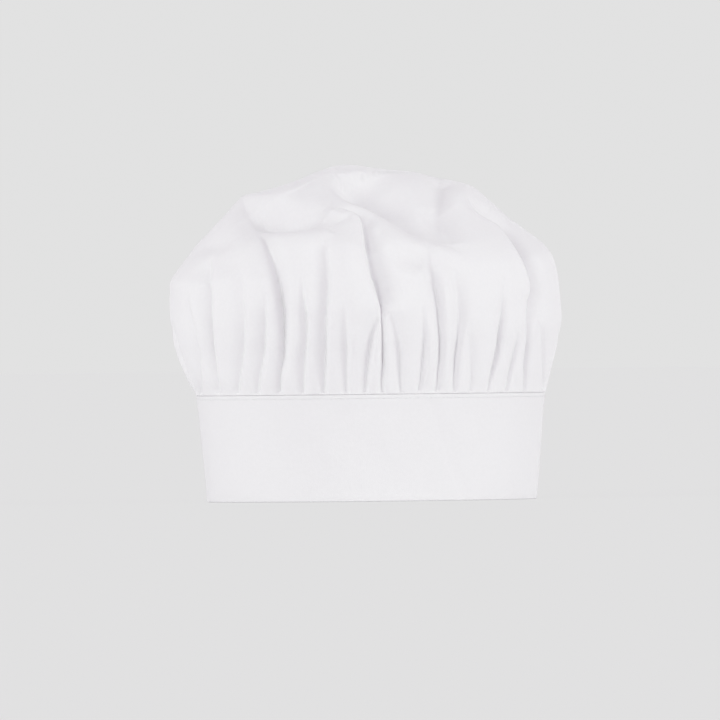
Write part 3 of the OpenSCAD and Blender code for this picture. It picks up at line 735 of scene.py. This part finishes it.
def spun(name, colour):
    """Sewing thread: plies twisted together, with painted shade in the grooves between them."""
    made, place, shader = finish_start(name, sheen=0.1)
    along, around = place.axis(0), place.axis(1)
    ply = (along * 6.0 + around * 5.0).sine()
    bump(place, ply, 0.05, 0.7).into(shader, "Normal")
    # Painted shade: the colour is darker where the ply wave dips, in the grooves between the plies.
    tone(place, ply * 0.5 + 0.5, colour, 0.92, 1.0).into(shader, "Base Color")
    shader.inputs["Roughness"].default_value = 0.7
    return made


def tubes(centres, outward, radii, sides=6):
    """Many short round tubes: centres by tube and ring, the way outward there, a radius for each ring."""
    count, rings = centres.shape[:2]
    along = np.gradient(centres, axis=1)
    across = unit(np.cross(along, outward))
    up = unit(np.cross(across, along))
    a = np.arange(sides) * math.tau / sides
    around = up[:, :, None] * np.cos(a)[:, None] + across[:, :, None] * np.sin(a)[:, None]
    points = centres[:, :, None] + around * np.asarray(radii)[:, None, None]
    faces = []
    for k in range(count):
        first = k * rings * sides
        last = first + (rings - 1) * sides
        faces += tube_faces(rings, sides, first)
        faces += [tuple(range(first, first + sides)), tuple(range(last, last + sides))]
    steps = np.linalg.norm(np.diff(centres, axis=1), axis=2)
    run = np.concatenate([np.zeros((count, 1)), steps.cumsum(axis=1)], axis=1)
    return points.reshape(-1, 3), faces, flat_places(run[:, :, None], a * max(radii))


def joined(parts):
    """Several sets of points, faces and flat places as one."""
    points, faces, uv = [], [], []
    first = 0
    for part_points, part_faces, part_uv in parts:
        points.append(part_points)
        uv.append(part_uv)
        faces += [tuple(first + v for v in f) for f in part_faces]
        first += len(part_points)
    return np.concatenate(points), faces, np.concatenate(uv)


def stitch_row(route, face, side):
    """Stitches along corners of [turn, height], at the depth of a face that looks out (1) or in (-1)."""
    route = np.asarray(route, float)
    run = lengths(route / [TURN_PER_MM, 1.0])
    count = max(1, round(run[-1] / STITCH_PITCH))
    pitch = run[-1] / count
    u = np.linspace(0, 1, STITCH_RINGS)
    place = (np.arange(count)[:, None] + 0.5) * pitch + (u - 0.5) * STITCH * pitch / STITCH_PITCH
    arch = np.sin(np.pi * u)
    depth = face - side * THREAD_RADIUS * (STITCH_RISE * np.sqrt(np.clip(arch, 0, 1)) - STITCH_SINK)
    turn, z = np.interp(place, run, route[:, 0]), np.interp(place, run, route[:, 1])
    centres = band_at(turn, depth, z)
    outward = (band_at(turn, depth - 1, z) - centres) * side
    return tubes(centres, outward, THREAD_RADIUS * (STITCH_END + (1 - STITCH_END) * arch))


def sewn(name, rows, node):
    """A piece of thread made of several rows of stitches, in the place of a CAD node."""
    made = piece(name, *joined([stitch_row(*row) for row in rows]), thread)
    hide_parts(node)
    return made


thread = spun("white_thread", THREAD_WHITE)
row_ends = (UNDER_AT + ROW_END_TURN, LAP_END - ROW_END_TURN)
top_row = [[turn, BAND_HEIGHT - TOP_STITCH_DROP] for turn in row_ends]
top_stitches = sewn("top_stitches", [(top_row, 0.0, 1), (top_row, BAND_THICK, -1)], "top_stitch_thread")
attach(top_stitches, "hat")

root_turn = LAP_END - ROOT_SEAM_INSET * TURN_PER_MM
root_row = [[root_turn, STRAP_MIDDLE - STRAP_HALF_HEIGHT], [root_turn, STRAP_MIDDLE + STRAP_HALF_HEIGHT]]
root_seam = sewn("strap_root_stitches", [(root_row, 0.0, 1), (root_row, BAND_THICK, -1)], "tab_seam_thread")
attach(root_seam, "hat")

lock_from, lock_to = LAP_AT + OVERLOCK_END, LAP_END - OVERLOCK_END
loops = round((lock_to - lock_from) / TURN_PER_MM / OVERLOCK_PITCH)
winding = np.linspace(0, math.tau * loops, 8 * loops)
lock_turns = np.linspace(lock_from, lock_to, len(winding))
lock_depth, lock_height = OVERLOCK_AT
lock_in, lock_up = OVERLOCK_RADIUS * np.cos(winding), OVERLOCK_RADIUS * np.sin(winding)
lock_line = band_at(lock_turns, lock_depth + lock_in, lock_height + lock_up)[None]
lock_out = lock_line - band_at(lock_turns, lock_depth, lock_height)[None]
lock_tube = tubes(lock_line, lock_out, np.full(len(winding), OVERLOCK_THREAD), 4)
overlock = piece("crown_overlock", *lock_tube, thread)
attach(overlock, "hat")
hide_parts("crown_overlock_thread")

# The loop tape: a woven tape with a napped face of fine loops, sewn to the outer face of the band's under end
# by a rectangle of stitches. The strap's hooks press into it.
TAPE_MIDDLE = LAP_END + 41.2 * TURN_PER_MM
EDGE_INSET = 2.5
LOOP_AREA, LOOP_BASE = (TAPE_MIDDLE - 360, 62.0, 34.0), 0.5
LAYER_GAP, TAPE_MARGINS, TAPE_END, TAPE_COLUMNS = 0.12, (0.8, 0.7), 0.5, 40
LOOP_WHITE = (0.80, 0.80, 0.81)


def tape_base(name, middle, length, height, depth, thick, material):
    """The woven ground of a tape that lies along the band, its middle at a turn and a depth."""
    reach = length / 2 * TURN_PER_MM
    turns = np.linspace(middle - reach, middle + reach, TAPE_COLUMNS)
    return piece(name, *bar(turns, depth, STRAP_MIDDLE, bar_section(thick / 2, height / 2)), material)


def tape_grid(middle, length, height, step, jitter, room):
    """Places [turn, height] in staggered rows on a tape, moved at random, and clear of its stitches."""
    across = np.arange(-length / 2 + TAPE_MARGINS[0], length / 2 - TAPE_MARGINS[1], step)
    up = np.arange(-height / 2 + TAPE_MARGINS[0], height / 2 - TAPE_MARGINS[1], step)
    places = np.stack(np.meshgrid(across, up), axis=-1)
    places[1::2, :, 0] += step / 2
    places = places.reshape(-1, 2)
    places = places[places[:, 0] < length / 2 - TAPE_END] + chance.uniform(-jitter, jitter, (1, 2))
    places += chance.uniform(-jitter, jitter, places.shape)
    from_stitches = (np.abs(places) - [length / 2, height / 2]).max(axis=1) + EDGE_INSET
    return places[np.abs(from_stitches) > room] * [TURN_PER_MM, 1.0] + [middle, STRAP_MIDDLE]


def curls(places, headings, shape, face, side, radius):
    """A small curl of filament at each place: its shape as [along, out], its heading and its face."""
    along, out = np.asarray(shape, float).T
    turn = places[:, :1] + along * np.cos(headings)[:, None] * TURN_PER_MM
    z = places[:, 1:] + along * np.sin(headings)[:, None]
    depth = face - side * np.broadcast_to(out, turn.shape)
    centres = band_at(turn, depth, z)
    outward = np.stack([-np.sin(headings), np.zeros(len(headings)), np.cos(headings)], axis=1)[:, None]
    return tubes(centres, np.broadcast_to(outward, centres.shape), np.full(len(along), radius), 3)


def box_route(middle, length, height):
    """A closed rectangle of stitches just inside a tape's edge."""
    reach, half = (length / 2 - EDGE_INSET) * TURN_PER_MM, height / 2 - EDGE_INSET
    low, high = STRAP_MIDDLE - half, STRAP_MIDDLE + half
    left, right = middle - reach, middle + reach
    return [[left, low], [right, low], [right, high], [left, high], [left, low]]


loop_felt = felted("loop_tape_pile", LOOP_WHITE, 2.5, 0.2)
loop_face = -LAYER_GAP - LOOP_BASE
loop_tape = tape_base("loop_tape_ground", *LOOP_AREA, (loop_face - LAYER_GAP) / 2, LOOP_BASE, loop_felt)
LOOP_STEP, LOOP_JITTER, LOOP_ROOM, LOOP_RADIUS = 1.0, 0.25, 0.6, 0.07
loop_places = tape_grid(*LOOP_AREA, LOOP_STEP, LOOP_JITTER, LOOP_ROOM)
LOOP_SHAPE = [(-0.3, -0.05), (-0.36, 0.3), (-0.16, 0.56), (0.16, 0.56), (0.36, 0.3), (0.3, -0.05)]
loop_headings = chance.uniform(0, math.pi, len(loop_places))
loop_curls = curls(loop_places, loop_headings, LOOP_SHAPE, loop_face, 1, LOOP_RADIUS)
loop_pile = piece("loop_tape_loops", *loop_curls, loop_felt)
for tape in (loop_tape, loop_pile):
    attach(tape, "hat")
    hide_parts("loop_tape")
loop_stitches = sewn("loop_tape_stitches", [(box_route(*LOOP_AREA), loop_face, 1)], "loop_tape_thread")
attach(loop_stitches, "hat")

# The strap: a strip of twill folded along its lower edge round a stiffener, with round corners at its tip
# and its root sewn into the end of the band. A row of stitches follows its edge.
STRAP_LENGTH, STRAP_ROOT, STRAP_CORNER = 82.0, 8.0, 9.0
STRAP_THICK, STRAP_DEPTH, STIFFENER_SHORT = 1.94, 1.72, 2.0
BEND_FROM, BEND_TO, EDGE_START = -1.0, 6.0, 1.5


def strap_half(run, inset):
    """Half the strap's height at a distance from the band's end, less an inset from its edge."""
    corner = STRAP_CORNER - inset
    back = np.clip(run - (STRAP_LENGTH - STRAP_CORNER), 0, corner)
    return STRAP_HALF_HEIGHT - STRAP_CORNER + np.sqrt(corner * corner - back * back)


def strap_layer(root, inset, half_thick):
    """A layer of the strap as a sleeve with a closed tip: points, faces, flat places, points a ring."""
    tip = STRAP_LENGTH - inset
    corner = STRAP_CORNER - inset
    bend = np.radians(np.linspace(0, 90, 6))
    bend_marks = np.arange(max(root, BEND_FROM - 1), BEND_TO + 1, 0.4)
    flat_marks = np.linspace(BEND_TO + 1, tip - corner, 22)
    marks = np.concatenate([
        np.linspace(root, bend_marks[0], 5)[:-1],
        bend_marks,
        flat_marks,
        tip - corner + (corner - half_thick) * np.sin(np.radians(np.linspace(6, 90, 12))),
        tip - half_thick * (1 - np.sin(bend[1:])),
    ])
    thick = np.full(len(marks), half_thick)
    thick[-5:] *= np.maximum(np.cos(bend[1:]), 0.05)
    halves = strap_half(np.minimum(marks, tip - half_thick), inset)
    sections = np.array([bar_section(t, h) for t, h in zip(thick, halves)])
    turns = LAP_END + marks[:, None] * TURN_PER_MM
    points = band_at(turns, STRAP_DEPTH + sections[:, :, 0], STRAP_MIDDLE + sections[:, :, 1])
    around = sections.shape[1]
    faces = tube_faces(len(marks), around)
    faces.append(tuple(range((len(marks) - 1) * around, len(marks) * around)))
    return points.reshape(-1, 3), faces, flat_places(marks[:, None], sections[:, :, 1]), around


def bends(made):
    """Bakes the piece's placing into its points. The band places where a bend would start and end are read
    but not used.
    """
    turns = LAP_END + np.array([BEND_FROM, BEND_TO]) * TURN_PER_MM
    start, end = band_at(turns, STRAP_DEPTH, STRAP_MIDDLE) * METRE
    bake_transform(made)


*outer, around = strap_layer(-STRAP_ROOT, 0.0, STRAP_THICK / 2)
*inner, around = strap_layer(-STRAP_ROOT, CLOTH, STRAP_THICK / 2 - CLOTH)
inner[1] = [f[::-1] for f in inner[1]]
strap_points, strap_faces, strap_uv = joined([outer, inner])
inside = len(outer[0])
strap_faces += [(k, inside + k, inside + (k + 1) % around, (k + 1) % around) for k in range(around)]
strap = piece("closing_strap", strap_points, strap_faces, strap_uv, band_twill)
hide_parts("closure_tab")
bends(strap)

strap_felt = felted("strap_interlining", INTERLINING_WHITE)
stiff_root, stiff_inset = STIFFENER_SHORT - STRAP_ROOT, CLOTH + LAYER_GAP
stiff_points, stiff_faces, stiff_uv, around = strap_layer(stiff_root, stiff_inset, STIFFENER / 2)
stiff_faces.append(tuple(range(around)))
strap_stiffener = piece("strap_stiffener", stiff_points, stiff_faces, stiff_uv, strap_felt)
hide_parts("tab_interlining")
bends(strap_stiffener)

strap_face = STRAP_DEPTH - STRAP_THICK / 2
corner_middle = (STRAP_LENGTH - STRAP_CORNER, STRAP_HALF_HEIGHT - STRAP_CORNER)
corner_bend = arc(corner_middle, STRAP_CORNER - EDGE_INSET, 90, 0, 9)
edge_half = np.concatenate([[[EDGE_START, STRAP_HALF_HEIGHT - EDGE_INSET]], corner_bend])
edge_route = np.concatenate([edge_half, edge_half[::-1] * [1, -1]])
edge_route = edge_route * [TURN_PER_MM, 1.0] + [LAP_END, STRAP_MIDDLE]
edge_stitches = sewn(
    "strap_edge_stitches",
    [(edge_route, strap_face, 1), (edge_route, strap_face + STRAP_THICK, -1)],
    "tab_edge_thread",
)
bends(edge_stitches)

# The hook tape: a woven tape set with rows of stiff little hooks, sewn to the strap's inner face by a
# rectangle of stitches that shows on its outer face.
HOOK_AREA, HOOK_BASE = (TAPE_MIDDLE, 46.0, 24.0), 0.5
HOOK_WHITE = (0.80, 0.80, 0.81)
hook_back = STRAP_DEPTH + STRAP_THICK / 2 + LAYER_GAP
hook_face = hook_back + HOOK_BASE
hook_felt = felted("hook_tape_ground", HOOK_WHITE, 3.0, 0.06)
hook_tape = tape_base("hook_tape_ground", *HOOK_AREA, (hook_back + hook_face) / 2, HOOK_BASE, hook_felt)
HOOK_STEP, HOOK_JITTER, HOOK_ROOM, HOOK_RADIUS = 1.25, 0.06, 0.7, 0.09
hook_places = tape_grid(*HOOK_AREA, HOOK_STEP, HOOK_JITTER, HOOK_ROOM)
HOOK_SHAPE = [(0.0, -0.05), (0.0, 0.22), (0.06, 0.42), (0.22, 0.54), (0.4, 0.46), (0.45, 0.3)]
hook_headings = np.where(np.arange(len(hook_places)) % 2, math.pi / 2, -math.pi / 2)
hook_curls = curls(hook_places, hook_headings, HOOK_SHAPE, hook_face, -1, HOOK_RADIUS)
hooks = piece("hook_tape_hooks", *hook_curls, hook_felt)
for tape in (hook_tape, hooks):
    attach(tape, "strap")
    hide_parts("hook_tape")
hook_route = box_route(*HOOK_AREA)
hook_rows = [(hook_route, strap_face, 1), (hook_route, hook_face, -1)]
hook_stitches = sewn("hook_tape_stitches", hook_rows, "hook_tape_thread")
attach(hook_stitches, "strap")

# Stage: a pale floor that keeps a faint shadow, under an even studio sky with a soft key light from the left
# and fill lamps at both sides and behind. The camera looks level from far off, as the photograph's straight
# hem shows, and is tilted sideways by as much as the hem slopes there.
BACKGROUND = 0.759
FLOOR_GREY, FLOOR_EVEN, FLOOR_EVEN_SHARE = 0.95, 0.738, 0.8
FLOOR_REACH, FLOOR_DROP = 150.0, 0.00003
LAMP_TINT, SKY_TINT = (0.96, 1.065, 0.95), (1.008, 0.968, 1.018)
SKY_LEVEL, HORIZON_GAIN = 0.684, 0.22
mm_per_pixel, frame_pixels = 0.65, 720
camera_away = 12.0
middle_x, middle_z = -6.8, 91.3
tilt = 0.63
RAYS = ("Is Camera Ray", "Is Glossy Ray", "Is Transmission Ray")


def seen_directly(wire):
    """1 where a surface is seen, in a mirror or through glass too, and 0 where it only gives light."""
    rays = [wire.node("ShaderNodeLightPath", None, None, name) for name in RAYS]
    return wire.math("MINIMUM", rays[0] + rays[1] + rays[2], 1.0)


floor_mesh = bpy.data.meshes.new("floor")
floor_corners = [(x * FLOOR_REACH, y * FLOOR_REACH, 0) for x, y in ((-1, -1), (1, -1), (1, 1), (-1, 1))]
floor_mesh.from_pydata(floor_corners, [], [(0, 1, 2, 3)])
floor = bpy.data.objects.new("floor", floor_mesh)
floor.location.z = -FLOOR_DROP
scene.collection.objects.link(floor)
floor_paint = bpy.data.materials.new("studio_floor")
floor_paint.use_nodes = True
floor_shader = floor_paint.node_tree.nodes["Principled BSDF"]
floor_shader.inputs["Base Color"].default_value = (FLOOR_GREY, FLOOR_GREY, FLOOR_GREY, 1)
floor_shader.inputs["Roughness"].default_value = 1.0
floor_shader.inputs["Specular IOR Level"].default_value = 0.0
lit = Wire(floor_shader.outputs[0])
even = lit.node("ShaderNodeEmission", None, {"Color": (FLOOR_EVEN,) * 3 + (1,), "Strength": 1.0})
floor_share = seen_directly(lit) * FLOOR_EVEN_SHARE
floor_mix = lit.node("ShaderNodeMixShader", None, {0: floor_share, 1: lit, 2: even})
floor_mix.into(floor_paint.node_tree.nodes["Material Output"], "Surface")
floor_mesh.materials.append(floor_paint)

world = bpy.data.worlds.new("studio")
world.use_nodes = True
scene.world = world
sky = Wire(world.node_tree.nodes["Background"].outputs[0])
towards = sky.node("ShaderNodeTexCoord", None, None, "Generated")
low_sky = sky.math("MAXIMUM", 1 - towards.axis(2), 0.0)
sky_strength = low_sky * low_sky * HORIZON_GAIN + SKY_LEVEL
glow = sky.node("ShaderNodeBackground", None, {"Color": SKY_TINT + (1,), "Strength": sky_strength})
shown = sky.node("ShaderNodeBackground", None, {"Color": (BACKGROUND,) * 3 + (1,), "Strength": 1.0})
mixed = sky.node("ShaderNodeMixShader", None, {0: seen_directly(sky), 1: glow, 2: shown})
mixed.into(world.node_tree.nodes["World Output"], "Surface")

# Each lamp: strength, width in degrees, and the way from the hat to it.
LAMPS = [
    ("key", 0.42, 16, (-0.47, -0.84, 0.26)),
    ("left", 0.38, 25, (-0.90, -0.35, 0.25)),
    ("right", 0.70, 25, (0.90, -0.35, 0.25)),
    ("back", 0.30, 40, (0.10, 0.98, 0.16)),
]
for name, strength, spread, way in LAMPS:
    lamp = bpy.data.lights.new(name, "SUN")
    lamp.energy = strength
    lamp.angle = math.radians(spread)
    lamp.color = LAMP_TINT
    lamp_object = bpy.data.objects.new(name, lamp)
    lamp_object.rotation_euler = Vector(way).to_track_quat("Z", "Y").to_euler()
    scene.collection.objects.link(lamp_object)

lens = bpy.data.cameras.new("camera")
lens.sensor_fit = "HORIZONTAL"
lens.sensor_width = 36.0
lens.lens = 36.0 * camera_away / (mm_per_pixel * frame_pixels * METRE)
lens.clip_end = 1000.0
camera = bpy.data.objects.new("camera", lens)
camera.location = (middle_x * METRE, -camera_away, middle_z * METRE)
camera.rotation_euler = (math.radians(90), math.radians(tilt), 0)
scene.collection.objects.link(camera)
scene.camera = camera
scene.view_settings.view_transform = "Standard"
